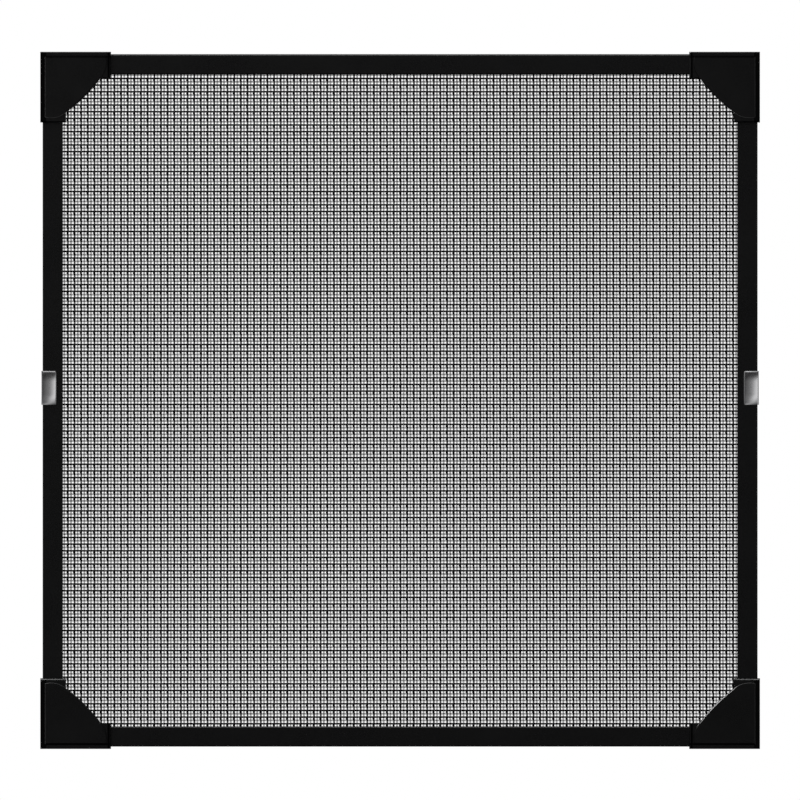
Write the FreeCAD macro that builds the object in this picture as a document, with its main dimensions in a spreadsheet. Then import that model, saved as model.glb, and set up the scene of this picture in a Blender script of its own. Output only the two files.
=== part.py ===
"""Window screen frame: four hollow rails, four corner brackets, a mesh panel held by spline cord,
and two spring clips. Millimetres. The frame stands upright: X across, Z up, front faces -Y, and
the origin is at the middle of the bottom edge."""

import FreeCAD, Part
import Sketcher
import math
import os
import re

# Driving dimensions, in millimetres. Depths are counted from the rails' front face backwards,
# and insets from the rails' outer edge inwards.
SIZES = {
    # Outside of the four rails
    "frame_width": 671.1,
    "frame_height": 650.0,
    # Rail section
    "rail_face": 19.05,
    "rail_depth": 7.9,
    "rail_wall": 0.8,
    "rail_round": 1.6,
    "groove_inset": 12.2,
    "groove_width": 3.8,
    "groove_floor": 2.6,
    "mesh_seat": 5.9,
    # Corner brackets
    "corner_leg": 66.4,
    "corner_overhang": 2.2,
    "lip_overhang": 2.95,
    "gusset_reach": 57.0,
    "gusset_radius": 150.0,
    "plate_thickness": 1.6,
    "plate_round": 0.8,
    "field_rise": 0.8,
    "field_border": 4.4,
    "field_reach": 61.5,
    "field_end_radius": 22.5,
    "field_bevel": 0.5,
    "flange_thickness": 1.2,
    "socket_gap": 0.1,
    "tongue_length": 36.0,
    "tongue_gap": 0.1,
    # Mesh panel
    "strand_pitch": 6.246,
    "strand_width": 1.8,
    "mesh_wall": 0.3,
    "strand_rise": 0.25,
    # Side clips
    "clip_length": 32.2,
    "clip_leaf": 12.9,
    "clip_back": 10.5,
    "clip_sheet": 1.2,
    "clip_crown": 0.9,
    "clip_raise": 12.0,
    "clip_round": 0.8,
}

# The openings that stand for the mesh's open cells: how many there are across and up, and how
# much of the way to the next one each takes up
GAP_COLUMNS = 12
GAP_ROWS = 10
GAP_SHARE = 0.6

# Each side of the frame is drawn once, lying along +X with its outer edge at Z = 0, and then
# turned about Y: name, turn in degrees, corner where it starts, and the side's own length.
LEFT_EDGE = "-frame_width / 2"
RIGHT_EDGE = "frame_width / 2"
LOW_EDGE = "corner_overhang"
HIGH_EDGE = "corner_overhang + frame_height"
SIDES = [
    ("bottom", 0, LEFT_EDGE, LOW_EDGE, "frame_width"),
    ("right", -90, RIGHT_EDGE, LOW_EDGE, "frame_height"),
    ("top", 180, RIGHT_EDGE, HIGH_EDGE, "frame_width"),
    ("left", 90, LEFT_EDGE, HIGH_EDGE, "frame_height"),
]
CORNERS = ["bottom_left", "bottom_right", "top_right", "top_left"]

# The rails' front face, with the whole thickness centred on Y = 0
RAIL_FRONT = "(plate_thickness + field_rise - rail_depth - flange_thickness) / 2"
GROOVE_END = "groove_inset + groove_width"
SPLINE_RADIUS = "groove_width / 2 - mesh_wall"

doc = FreeCAD.newDocument("window_screen")
sheet = doc.addObject("Spreadsheet::Sheet", "Sizes")


def fill_sheet():
    for row, (name, size) in enumerate(SIZES.items(), start=1):
        sheet.set(f"A{row}", name)
        sheet.set(f"B{row}", str(size))
        sheet.setAlias(f"B{row}", name)
    doc.recompute()


def in_sheet(text):
    """The same formula with each size read from the spreadsheet."""
    return re.sub(r"[a-z]+(?:_[a-z]+)+", lambda word: "Sizes." + word.group(), text)


def value(text):
    return float(sheet.evalExpression(in_sheet(text)))


def bind(thing, field, text):
    thing.setExpression(field, in_sheet(text))


def new_body(label, side):
    """A body in its side's place."""
    body = doc.addObject("PartDesign::Body", label)
    body.Label = label
    turn, start_x, start_z = side[1:4]
    body.Placement = FreeCAD.Placement(
        FreeCAD.Vector(0, 0, 0), FreeCAD.Rotation(FreeCAD.Vector(0, 1, 0), turn)
    )
    bind(body, "Placement.Base.x", start_x)
    bind(body, "Placement.Base.y", RAIL_FRONT)
    bind(body, "Placement.Base.z", start_z)
    doc.recompute()
    return body


def new_sketch(body, label, plane, offset):
    """An empty sketch, moved along the normal of one of the body's own origin planes."""
    sketch = body.newObject("Sketcher::SketchObject", label)
    support = [part for part in body.Origin.OriginFeatures if part.Role == plane][0]
    sketch.AttachmentSupport = [(support, "")]
    sketch.MapMode = "FlatFace"
    bind(sketch, "AttachmentOffset.Base.z", offset)
    return sketch


def bulged_arc(start, end, radius):
    """The short arc from start to end that bulges to the right of that direction."""
    chord = end - start
    right = FreeCAD.Vector(chord.y, -chord.x, 0).normalize()
    half = chord.Length / 2
    rise = radius - math.sqrt(radius * radius - half * half)
    return Part.Arc(start, start + chord * 0.5 + right * rise, end)


def draw_outline(sketch, points):
    """A closed outline through the points, with every corner placed by formulas from the
    origin. A point with a third value starts an arc of that radius, bulging to the right if
    the outline passes it forwards and to the left if the radius is written with a minus."""
    spots = [FreeCAD.Vector(value(point[0]), value(point[1]), 0) for point in points]
    ends = []
    for index, point in enumerate(points):
        start, end = spots[index], spots[(index + 1) % len(points)]
        if len(point) == 2:
            edge = sketch.addGeometry(Part.LineSegment(start, end), False)
            ends.append((edge, 1, 2))
            continue
        inward = point[2].startswith("-")
        radius = point[2].lstrip("-")
        if inward:
            arc = bulged_arc(end, start, value(radius))
        else:
            arc = bulged_arc(start, end, value(radius))
        edge = sketch.addGeometry(arc, False)
        first = 1 if sketch.getPoint(edge, 1).distanceToPoint(start) < 0.001 else 2
        ends.append((edge, first, 3 - first))
        size = sketch.addConstraint(Sketcher.Constraint("Radius", edge, value(radius)))
        bind(sketch, f"Constraints[{size}]", radius)
    for index, (edge, first, last) in enumerate(ends):
        after = ends[(index + 1) % len(ends)]
        sketch.addConstraint(Sketcher.Constraint("Coincident", edge, last, after[0], after[1]))
        for kind, text in (("DistanceX", points[index][0]), ("DistanceY", points[index][1])):
            place = Sketcher.Constraint(kind, -1, 1, edge, first, value(text))
            bind(sketch, f"Constraints[{sketch.addConstraint(place)}]", text)


def rectangle(low_x, high_x, low_y, high_y):
    return [(low_x, low_y), (high_x, low_y), (high_x, high_y), (low_x, high_y)]


def add(body, label, plane, start, length, points):
    """Material from start, along the plane's normal."""
    sketch = new_sketch(body, label + "_outline", plane, start)
    draw_outline(sketch, points)
    pad = body.newObject("PartDesign::Pad", label)
    pad.Profile = sketch
    bind(pad, "Length", length)
    doc.recompute()
    return pad


def cut(body, label, plane, start, length, points):
    """A cut from start, along the plane's normal; it has to take some material away."""
    before = body.Shape.Volume
    sketch = new_sketch(body, label + "_outline", plane, start)
    draw_outline(sketch, points)
    pocket = body.newObject("PartDesign::Pocket", label)
    pocket.Profile = sketch
    pocket.Reversed = True
    bind(pocket, "Length", length)
    doc.recompute()
    if body.Shape.Volume >= before:
        raise RuntimeError(body.Label + ": " + label + " cuts nothing")
    return pocket


def dress_edges(body, kind, label, field, text, wanted):
    """A fillet or chamfer on the edges of the body's last feature that wanted() picks."""
    base = body.Tip
    names = [f"Edge{number}" for number, edge in enumerate(base.Shape.Edges, start=1) if wanted(edge)]
    if not names:
        raise RuntimeError(body.Label + ": " + label + " finds no edge")
    feature = body.newObject("PartDesign::" + kind, label)
    feature.Base = (base, names)
    bind(feature, field, text)
    doc.recompute()


def lies_at(edge, **places):
    """True if both ends of the edge have the given coordinates."""
    return all(
        abs(getattr(vertex.Point, axis) - place) < 0.001
        for vertex in edge.Vertexes
        for axis, place in places.items()
    )


def make_rail(side):
    """A hollow rail between two corner brackets: a square tube along the outer edge, then the
    spline groove open at the back, and the lower lip that the mesh rests on."""
    name, length = side[0], side[4]
    body = new_body(name + "_rail", side)
    start = "rail_face"
    run = f"{length} - 2 * rail_face"
    lip_low, lip_high = GROOVE_END, "rail_face"
    add(body, "profile", "YZ_Plane", start, run, rectangle("0", "rail_depth", "0", "rail_face"))
    cut(body, "tube_hollow", "YZ_Plane", start, run, rectangle(
        "rail_wall", "rail_depth - rail_wall", "rail_wall", "groove_inset - rail_wall"))
    cut(body, "groove", "YZ_Plane", start, run, rectangle(
        "groove_floor", "rail_depth", "groove_inset", GROOVE_END))
    cut(body, "mesh_step", "YZ_Plane", start, run, rectangle(
        "mesh_seat", "rail_depth", lip_low, lip_high))
    under_floor = "groove_floor - rail_wall"
    under_seat = "mesh_seat - rail_wall"
    past_groove = GROOVE_END + " + rail_wall"
    inside_edge = "rail_face - rail_wall"
    cut(body, "lip_hollow", "YZ_Plane", start, run, [
        ("rail_wall", "groove_inset + rail_wall"),
        (under_floor, "groove_inset + rail_wall"),
        (under_floor, past_groove),
        (under_seat, past_groove),
        (under_seat, inside_edge),
        ("rail_wall", inside_edge),
    ])
    face = value("rail_face")
    dress_edges(body, "Fillet", "front_rounds", "Radius", "rail_round",
                lambda edge: lies_at(edge, y=0, z=0) or lies_at(edge, y=0, z=face))
    return body


def two_legs(low, end, width):
    """The outline of two legs that meet at the frame's outer corner."""
    return [(low, low), (end, low), (end, width), (width, width), (width, end), (low, end)]


def make_corner(name, side):
    """A moulded corner bracket: a front plate with a gusset and a raised field, walls round the
    rails' ends, a block between them that carries the groove round, and two tongues."""
    body = new_body(name + "_corner", side)
    low = "-corner_overhang"
    end = "corner_leg - corner_overhang"
    lip = "rail_face + lip_overhang"
    reach = "gusset_reach - corner_overhang"
    border = "field_border - corner_overhang"
    field_end = "field_reach - corner_overhang"
    plate_back, plate_front = "0", "plate_thickness"
    seat = "mesh_seat - socket_gap"

    # The front plate and its raised field; the plane's normal points forwards
    add(body, "front_plate", "XZ_Plane", plate_back, plate_front, [
        (low, low), (end, low), (end, lip), (reach, lip, "gusset_radius"),
        (lip, reach), (lip, end), (low, end),
    ])
    plate_face = -value("plate_thickness")
    rims = (value(low), value(end))
    dress_edges(body, "Fillet", "plate_rounds", "Radius", "plate_round", lambda edge: any(
        lies_at(edge, y=plate_face, x=rim) or lies_at(edge, y=plate_face, z=rim) for rim in rims))
    add(body, "field", "XZ_Plane", plate_front, "field_rise", [
        (border, border), (field_end, border, "field_end_radius"),
        (reach, lip, "gusset_radius"), (lip, reach, "field_end_radius"),
        (border, field_end),
    ])
    field_face = -value("plate_thickness + field_rise")
    dress_edges(body, "Chamfer", "field_bevel", "Size", "field_bevel",
                lambda edge: lies_at(edge, y=field_face))

    # The walls round the rails: full width in front of the mesh, up to the groove behind it
    add(body, "front_walls", "XZ_Plane", f"-({seat})", seat, two_legs(low, end, lip))
    add(body, "back_walls", "XZ_Plane", "-(rail_depth + flange_thickness)",
        f"rail_depth + flange_thickness - ({seat})", two_legs(low, end, "groove_inset"))
    cut(body, "groove", "XZ_Plane", "-rail_depth", "rail_depth - groove_floor", [
        ("groove_inset", "groove_inset"), ("rail_face", "groove_inset"),
        ("rail_face", GROOVE_END), (GROOVE_END, GROOVE_END),
        (GROOVE_END, "rail_face"), ("groove_inset", "rail_face"),
    ])

    # The sockets that the rails slide into, and the tongues inside the rails
    along = ("rail_face", end)
    across = ("-socket_gap", "rail_face + socket_gap")
    cut(body, "level_socket", "XZ_Plane", "-rail_depth", "rail_depth", rectangle(*along, *across))
    cut(body, "upright_socket", "XZ_Plane", "-rail_depth", "rail_depth", rectangle(*across, *along))
    tongue_depth = ("rail_wall + tongue_gap", "rail_depth - rail_wall - tongue_gap")
    tongue_width = ("rail_wall + tongue_gap", "groove_inset - rail_wall - tongue_gap")
    add(body, "level_tongue", "YZ_Plane", "rail_face", "tongue_length",
        rectangle(*tongue_depth, *tongue_width))
    add(body, "upright_tongue", "XY_Plane", "rail_face", "tongue_length",
        rectangle(*tongue_width, *tongue_depth))
    return body


def make_spline(side, start):
    """A length of round cord pressed into the groove on top of the mesh's hem."""
    body = new_body(side[0] + "_spline", side)
    sketch = new_sketch(body, "cord_outline", "YZ_Plane", start)
    depth = f"groove_floor + mesh_wall + {SPLINE_RADIUS}"
    inset = "groove_inset + groove_width / 2"
    middle = FreeCAD.Vector(value(depth), value(inset), 0)
    circle = Part.Circle(middle, FreeCAD.Vector(0, 0, 1), value(SPLINE_RADIUS))
    sketch.addGeometry(circle, False)
    for kind, size in (("DistanceX", depth), ("DistanceY", inset)):
        place = Sketcher.Constraint(kind, -1, 1, 0, 3, value(size))
        bind(sketch, f"Constraints[{sketch.addConstraint(place)}]", size)
    radius = Sketcher.Constraint("Radius", 0, value(SPLINE_RADIUS))
    bind(sketch, f"Constraints[{sketch.addConstraint(radius)}]", SPLINE_RADIUS)
    pad = body.newObject("PartDesign::Pad", "cord")
    pad.Profile = sketch
    bind(pad, "Length", f"{side[4]} - 2 * ({start})")
    doc.recompute()
    return body


def make_clip(side, middle):
    """A sheet-steel clip bent round a side rail: a crowned leaf in front, a web along the outer
    edge and a flat leaf behind."""
    body = new_body(side[0] + "_clip", side)
    inner = "(clip_leaf * clip_leaf / 4 + clip_crown * clip_crown) / (2 * clip_crown)"
    outer = inner + " + clip_sheet"
    centre = f"({inner} - clip_crown)"
    web_front = f"{centre} - sqrt(({outer}) ^ 2 - (clip_leaf / 2 + clip_sheet) ^ 2)"
    tip_depth = f"-clip_sheet * {centre} / ({inner})"
    tip_inset = f"clip_leaf + clip_sheet * (clip_leaf / 2) / ({inner})"
    back = "rail_depth + clip_sheet"
    add(body, "bent_sheet", "YZ_Plane", f"{middle} - clip_length / 2", "clip_length", [
        ("0", "0"), ("rail_depth", "0"), ("rail_depth", "clip_back"), (back, "clip_back"),
        (back, "-clip_sheet"), (web_front, "-clip_sheet", "-" + "(" + outer + ")"),
        (tip_depth, tip_inset), ("0", "clip_leaf", f"({inner})"),
    ])
    crown_radius = value(outer)
    crown = [face for face in body.Tip.Shape.Faces
             if isinstance(face.Surface, Part.Cylinder)
             and abs(face.Surface.Radius - crown_radius) < 0.001][0]
    dress_edges(body, "Fillet", "leaf_rounds", "Radius", "clip_round",
                lambda edge: any(edge.isSame(rim) for rim in crown.Edges))
    back_face = value(back)
    dress_edges(body, "Fillet", "back_bend", "Radius", "clip_round",
                lambda edge: lies_at(edge, y=back_face, z=-value("clip_sheet")))
    return body


def strand_row(span, pitch, width):
    """The middles of the heavy strands in a row of them, as many as the span holds."""
    count = int((span - width) / pitch)
    return [(index - (count - 1) / 2) * pitch for index in range(count)]


def gap_row(strands, count, width):
    """The two ends of each opening in a row of them. Each takes out an odd number of the weave's
    cells, and ends at the edge of a strand."""
    spacing = (len(strands) - 1) / count
    cells = 2 * int(GAP_SHARE * spacing / 2) + 1
    ends = []
    for index in range(count):
        first = int((index + 0.5) * spacing) - cells // 2
        ends.append((strands[first] + width / 2, strands[first + cells] - width / 2))
    return ends


def comb(span, strands, gaps, width, low, high):
    """The outline of a flat strip from low to 0, with a ridge up to high for each strand that no
    opening would cut, as points (along the strip, height)."""
    points = [(-span / 2, 0), (-span / 2, low)]
    for middle in strands:
        if not any(start < middle < end for start, end in gaps):
            left, right = middle - width / 2, middle + width / 2
            points += [(left, low), (left, high), (right, high), (right, low)]
    return points + [(span / 2, low), (span / 2, 0)]


def make_mesh():
    """The woven panel as one wall with a grid of openings, ridges for the heavy strands between
    them, upright ones in front and level ones behind, and the hem tucked into the groove."""
    pitch, width = value("strand_pitch"), value("strand_width")
    wall, rise = value("mesh_wall"), value("strand_rise")
    seat = value(f"{RAIL_FRONT} + mesh_seat")
    floor = value(f"{RAIL_FRONT} + groove_floor")
    middle_z = value("corner_overhang + frame_height / 2")
    groove = value("groove_width")
    span_x = value(f"frame_width - 2 * ({GROOVE_END})")
    span_z = value(f"frame_height - 2 * ({GROOVE_END})")
    parting = seat + rise + wall / 2

    columns = strand_row(span_x, pitch, width)
    rows = strand_row(span_z, pitch, width)
    gaps_across = gap_row(columns, GAP_COLUMNS, width)
    gaps_up = gap_row(rows, GAP_ROWS, width)
    front = comb(span_x, columns, gaps_across, width, -wall / 2, -wall / 2 - rise)
    back = comb(span_z, rows, gaps_up, width, wall / 2, wall / 2 + rise)
    front_points = [FreeCAD.Vector(x, parting + y, middle_z - span_z / 2) for x, y in front]
    back_points = [FreeCAD.Vector(-span_x / 2, parting + y, middle_z + z) for z, y in back]
    upright = Part.Face(Part.makePolygon(front_points + front_points[:1]))
    level = Part.Face(Part.makePolygon(back_points + back_points[:1]))
    panel = upright.extrude(FreeCAD.Vector(0, 0, span_z))
    panel = panel.fuse(level.extrude(FreeCAD.Vector(span_x, 0, 0)))

    def ring(outset, inset, low, high):
        """A rectangular ring round the panel; outset and inset are counted from its edge."""
        def block(grow):
            return Part.makeBox(
                span_x + 2 * grow, high - low, span_z + 2 * grow,
                FreeCAD.Vector(-span_x / 2 - grow, low, middle_z - span_z / 2 - grow),
            )
        return block(outset).cut(block(inset))

    wall_back = parting + wall / 2
    hem = ring(groove, 0, floor, wall_back).cut(ring(groove - wall, wall, floor + wall, wall_back))
    panel = panel.fuse(hem)

    reach = 2 * (wall + rise)
    gaps = []
    for low_x, high_x in gaps_across:
        for low_z, high_z in gaps_up:
            corner = FreeCAD.Vector(low_x, parting - reach / 2, middle_z + low_z)
            gaps.append(Part.makeBox(high_x - low_x, reach, high_z - low_z, corner))
    panel = panel.cut(Part.makeCompound(gaps))
    if panel.ShapeType == "Compound" and len(panel.Solids) == 1:
        panel = panel.Solids[0]
    mesh = doc.addObject("Part::Feature", "mesh_panel")
    mesh.Label = "mesh_panel"
    mesh.Shape = panel
    mesh.Placement = FreeCAD.Placement()
    return mesh


def export(parts):
    """Writes one file for each sub-part, after checking that nothing in the document failed."""
    doc.recompute()
    failed = [thing.Label for thing in doc.Objects if {"Invalid", "Error"} & set(thing.State)]
    for part in parts:
        if part.Shape.isNull() or not part.Shape.isValid() or len(part.Shape.Solids) != 1:
            failed.append(part.Label)
    if failed:
        raise RuntimeError("not built: " + ", ".join(failed))
    os.makedirs("parts", exist_ok=True)
    for part in parts:
        part.Shape.exportStep(f"parts/{part.Label}.step")


def main():
    fill_sheet()
    parts = [make_rail(side) for side in SIDES]
    parts += [make_corner(name, side) for name, side in zip(CORNERS, SIDES)]
    parts.append(make_mesh())
    long_start = "groove_inset + mesh_wall"
    short_start = f"{GROOVE_END} - mesh_wall"
    bottom, right, top, left = SIDES
    parts += [make_spline(side, long_start) for side in (bottom, top)]
    parts += [make_spline(side, short_start) for side in (right, left)]
    parts.append(make_clip(right, "frame_height / 2 + clip_raise"))
    parts.append(make_clip(left, "frame_height / 2 - clip_raise"))
    export(parts)


main()
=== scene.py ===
"""Looks of a window screen frame: powder-coated rails, moulded corner brackets, a woven mesh whose hem
is held by ribbed cord, and two bright spring clips. Metres; X across, Z up, and the front faces -Y."""

import math

import bmesh
import bpy
from bpy.props import FloatProperty, FloatVectorProperty, IntProperty, PointerProperty
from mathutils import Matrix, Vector


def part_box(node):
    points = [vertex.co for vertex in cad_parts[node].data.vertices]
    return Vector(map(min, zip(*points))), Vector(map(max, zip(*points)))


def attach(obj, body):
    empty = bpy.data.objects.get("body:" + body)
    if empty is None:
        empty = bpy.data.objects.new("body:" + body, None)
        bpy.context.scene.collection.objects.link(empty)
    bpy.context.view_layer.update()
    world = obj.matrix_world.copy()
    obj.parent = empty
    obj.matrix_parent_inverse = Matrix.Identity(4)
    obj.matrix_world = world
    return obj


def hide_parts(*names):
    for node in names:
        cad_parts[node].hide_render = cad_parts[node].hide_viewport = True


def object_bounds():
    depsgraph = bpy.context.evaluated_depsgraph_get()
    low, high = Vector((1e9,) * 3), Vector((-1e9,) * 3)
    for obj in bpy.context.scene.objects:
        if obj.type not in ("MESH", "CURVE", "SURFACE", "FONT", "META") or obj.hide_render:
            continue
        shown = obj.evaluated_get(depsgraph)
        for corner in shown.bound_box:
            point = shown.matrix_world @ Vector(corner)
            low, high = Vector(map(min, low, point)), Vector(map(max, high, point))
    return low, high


bl_info = {
    "name": "Window Screen Frame",
    "version": (1, 0, 0),
    "blender": (4, 5, 0),
    "location": "3D View > Sidebar > Window Screen",
    "description": "Dresses the frame of a window screen with its finishes, mesh, cords and clips",
    "category": "Object",
}

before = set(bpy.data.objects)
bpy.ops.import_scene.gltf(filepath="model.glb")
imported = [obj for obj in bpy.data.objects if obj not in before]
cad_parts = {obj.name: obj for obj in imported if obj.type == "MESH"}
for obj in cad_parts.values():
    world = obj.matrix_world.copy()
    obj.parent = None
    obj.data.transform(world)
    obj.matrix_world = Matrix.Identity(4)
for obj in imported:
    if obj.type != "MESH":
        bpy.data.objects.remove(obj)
CAD_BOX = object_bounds()

MM = 0.001
BODY = "root"
SIDES = ("bottom", "right", "top", "left")
CORNERS = ("bottom_left", "bottom_right", "top_right", "top_left")
RIGHT = Vector((1.0, 0.0, 0.0))
UP = Vector((0.0, 0.0, 1.0))

# Places read from the frame. REACH goes from its middle to its outer corner, and RAIL_REACH to the
# outer faces of the side rails
MIDDLE = (CAD_BOX[0] + CAD_BOX[1]) / 2
REACH = CAD_BOX[1] - MIDDLE
PANEL_LOW, PANEL_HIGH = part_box("mesh_panel")
PANEL_MIDDLE = (PANEL_LOW + PANEL_HIGH) / 2
RAIL_LOW, RAIL_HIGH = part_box("left_rail")
RAIL_REACH = -RAIL_LOW.x
CORNER_LOW, CORNER_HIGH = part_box("top_left_corner")

# Where the middle of the woven sheet lies from front to back: behind the fold of its hem
WEAVE_PLANE = PANEL_LOW.y + 3.7 * MM

# A fine strand's thickness as a share of a heavy one's
FINE_SHARE = 0.8

# More pitches than fit on either side of the mesh's middle
MOST_CELLS = 80

# How bright the room's front looks in reflections, from the upper left to the lower right
FRONT_WALL = (
    (0.0, 0.02), (0.125, 0.04), (0.25, 0.15), (0.375, 0.24), (0.44, 0.36), (0.5, 0.6), (0.5625, 0.85),
    (0.64, 1.0), (0.7, 0.8), (0.8, 0.45), (1.0, 0.2),
)


class WeaveSizes(bpy.types.PropertyGroup):
    """Sizes of the woven mesh."""

    pitch: FloatProperty(
        name="Pitch", description="Distance between two heavy strands",
        default=6.2444 * MM, min=1 * MM, unit="LENGTH", precision=5)
    heavy_upright: FloatProperty(
        name="Heavy upright strand", description="Width of a heavy upright strand where it is narrow",
        default=1.7 * MM, min=0.1 * MM, unit="LENGTH", precision=5)
    bulge: FloatProperty(
        name="Bulge", description="How much wider a heavy upright strand is below each crossing",
        default=0.72 * MM, min=0, unit="LENGTH", precision=5)
    bulge_shift: FloatProperty(
        name="Bulge shift", description="How far the bulge lies to the left",
        default=0.4 * MM, min=0, unit="LENGTH", precision=5)
    heavy_level: FloatProperty(
        name="Heavy level strand", description="Width of a heavy level strand",
        default=1.65 * MM, min=0.1 * MM, unit="LENGTH", precision=5)
    fine: FloatProperty(
        name="Fine strand", description="Width of each strand of a fine pair",
        default=0.55 * MM, min=0.1 * MM, unit="LENGTH", precision=5)
    pair_spacing: FloatProperty(
        name="Pair spacing", description="Distance between the middles of a fine pair's strands",
        default=0.86 * MM, min=0.1 * MM, unit="LENGTH", precision=5)
    pair_shift: FloatProperty(
        name="Pair shift", description="How far the fine upright pairs lie to the left of halfway",
        default=0.22 * MM, min=0, unit="LENGTH", precision=5)
    thickness: FloatProperty(
        name="Thickness", description="Thickness of a heavy strand from front to back",
        default=0.38 * MM, min=0.05 * MM, unit="LENGTH", precision=5)
    weave_depth: FloatProperty(
        name="Weave depth", description="How far a strand swings forwards and back as it crosses others",
        default=0.19 * MM, min=0, unit="LENGTH", precision=5)
    upright_sway: FloatProperty(
        name="Upright sway", description="How far the upright strands wander sideways",
        default=0.9 * MM, min=0, unit="LENGTH", precision=5)
    level_sway: FloatProperty(
        name="Level sway", description="How far the level strands wander up and down",
        default=0.45 * MM, min=0, unit="LENGTH", precision=5)
    shift_across: FloatProperty(
        name="Shift across", description="How far the weave lies to the right of the panel's middle",
        default=0.45 * MM, unit="LENGTH", precision=5)
    shift_up: FloatProperty(
        name="Shift up", description="How far the weave lies above the panel's middle",
        default=-0.66 * MM, unit="LENGTH", precision=5)
    groove: FloatProperty(
        name="Groove", description="Width of the groove that takes the mesh's hem",
        default=3.8 * MM, min=1 * MM, unit="LENGTH", precision=5)
    hem_wall: FloatProperty(
        name="Hem thickness", description="Thickness of the hem where it lines the groove",
        default=0.3 * MM, min=0.05 * MM, unit="LENGTH", precision=5)
    seed: IntProperty(
        name="Seed", description="Fixed start for the strands' wander", default=7)


class BracketSizes(bpy.types.PropertyGroup):
    """Sizes of the sloping edges, the smooth border with its painted shade, and the painted shadow lines
    on the brackets' fronts.
    """

    gusset_radius: FloatProperty(
        name="Gusset radius", description="Radius of the gusset's curved edge",
        default=150 * MM, min=1 * MM, unit="LENGTH", precision=4)
    gusset_centre: FloatProperty(
        name="Gusset centre", description="How far the curve's middle lies outside the bracket's corner",
        default=64.2 * MM, min=0, unit="LENGTH", precision=4)
    leg_width: FloatProperty(
        name="Leg width", description="Width of a leg's front, from the bracket's outer edge",
        default=24.2 * MM, min=1 * MM, unit="LENGTH", precision=5)
    leg_edge: FloatProperty(
        name="Leg edge", description="Width of the sloping edge at the leg ends",
        default=1.6 * MM, min=0.1 * MM, unit="LENGTH", precision=5)
    gusset_edge: FloatProperty(
        name="Gusset edge", description="Width of the sloping edge along the gusset",
        default=1.1 * MM, min=0.1 * MM, unit="LENGTH", precision=5)
    edge_depth: FloatProperty(
        name="Edge depth", description="How far the edges slope back",
        default=0.92 * MM, min=0, unit="LENGTH", precision=5)
    side_border: FloatProperty(
        name="Side border", description="Reach of the smooth border in from the outer sides",
        default=5.5 * MM, min=0, unit="LENGTH", precision=5)
    # The dark lines below are painted shadow lines
    level_line: FloatProperty(
        name="Level line", description="How far the dark line lies in from the top and the bottom",
        default=4.6 * MM, min=0, unit="LENGTH", precision=5)
    end_line: FloatProperty(
        name="End line", description="How far the dark line lies in from a level leg's end",
        default=2.4 * MM, min=0, unit="LENGTH", precision=5)
    line_width: FloatProperty(
        name="Line width", description="Width of the dark lines",
        default=2.4 * MM, min=0.1 * MM, unit="LENGTH", precision=5)


class CordSizes(bpy.types.PropertyGroup):
    """Sizes of the cord in the groove."""

    ribs: IntProperty(
        name="Ribs", description="Number of ribs round the cord", default=12, min=3)
    rib_depth: FloatProperty(
        name="Rib depth", description="Height of a rib",
        default=0.22 * MM, min=0, unit="LENGTH", precision=5)
    ring_spacing: FloatProperty(
        name="Ring spacing", description="Distance between the rings of points along the cord",
        default=8 * MM, min=1 * MM, unit="LENGTH", precision=5)
    twist: FloatProperty(
        name="Twist", description="How far the ribs turn to and fro along the cord",
        default=math.radians(50), unit="ROTATION")
    seed: IntProperty(
        name="Seed", description="Fixed start for the cord's twist", default=3)


class ClipSizes(bpy.types.PropertyGroup):
    """Sizes of the spring clips."""

    sheet: FloatProperty(
        name="Sheet", description="Thickness of the steel sheet",
        default=1.2 * MM, min=0.2 * MM, unit="LENGTH", precision=5)
    leaf: FloatProperty(
        name="Front leaf", description="Inner width of the crowned leaf in front of the rail",
        default=12.5 * MM, min=1 * MM, unit="LENGTH", precision=5)
    back_leaf: FloatProperty(
        name="Back leaf", description="Inner width of the flat leaf behind the rail",
        default=10.5 * MM, min=1 * MM, unit="LENGTH", precision=5)
    crown: FloatProperty(
        name="Crown", description="How far the front leaf bulges off the rail",
        default=0.9 * MM, min=0.1 * MM, unit="LENGTH", precision=5)
    bend: FloatProperty(
        name="Bend", description="Inside radius of the sheet's bends",
        default=0.2 * MM, min=0.05 * MM, unit="LENGTH", precision=5)
    rim_width: FloatProperty(
        name="Rim width", description="Width of the pressed bevel round the front leaf",
        default=1.0 * MM, min=0.1 * MM, unit="LENGTH", precision=5)
    rim_drop: FloatProperty(
        name="Rim drop", description="How much thinner the sheet is at the bevel's edge",
        default=0.16 * MM, min=0, unit="LENGTH", precision=5)
    end_reach: FloatProperty(
        name="End reach", description="Length over which the front leaf curves down to each end",
        default=10 * MM, min=1 * MM, unit="LENGTH", precision=5)
    end_drop: FloatProperty(
        name="End drop", description="How far the front leaf curves down to each end",
        default=0.85 * MM, min=0, unit="LENGTH", precision=5)
    top_gap: FloatProperty(
        name="Top gap", description="How far the sheet ends below the top of its place",
        default=0.6 * MM, min=0, unit="LENGTH", precision=5)


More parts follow.
